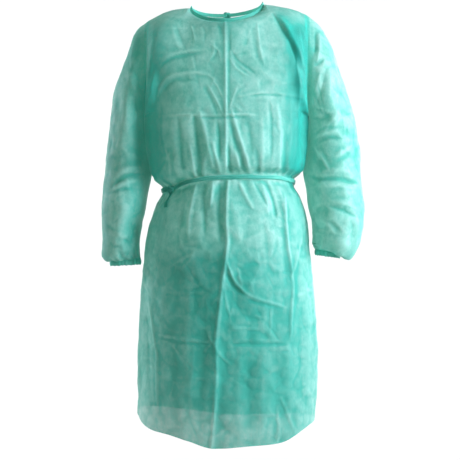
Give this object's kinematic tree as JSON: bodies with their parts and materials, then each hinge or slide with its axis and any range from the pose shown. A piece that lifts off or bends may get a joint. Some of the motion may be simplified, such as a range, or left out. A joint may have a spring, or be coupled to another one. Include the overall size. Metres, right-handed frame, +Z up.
{
  "type": "disposable isolation gown",
  "caption": "Hollow back-opening isolation gown of thin green non-woven cloth, in its worn form: set-in sleeves with elastic cuffs, bound neck tied at the nape, belt tied at the waist.",
  "frame": {"origin": "between the two shoulder seams at the neck, where the wearer's shoulders hold the gown up", "axes": "+Z up along the body, the front faces -Y, and the wearer's left side is at +X"},
  "size_m": [0.6525, 0.3327, 1.0843],
  "materials": {
    "cloth": "thin translucent green spunbond non-woven cloth with a fine point bond, matt with a soft sheen",
    "folded_cloth": "the same non-woven cloth folded in several layers, so denser and darker"
  },
  "bodies": {
    "root": {"front_panel": "cloth", "back_panel_left": "cloth", "back_panel_right": "cloth", "sleeve_left": "cloth", "sleeve_right": "cloth", "cuff_left": "folded_cloth", "cuff_right": "folded_cloth", "neck_binding": "folded_cloth", "neck_knot": "folded_cloth", "neck_tie_left": "folded_cloth", "neck_tie_right": "folded_cloth", "belt": "folded_cloth", "belt_knot": "folded_cloth", "belt_tail": "folded_cloth"}
  },
  "joints": []
}
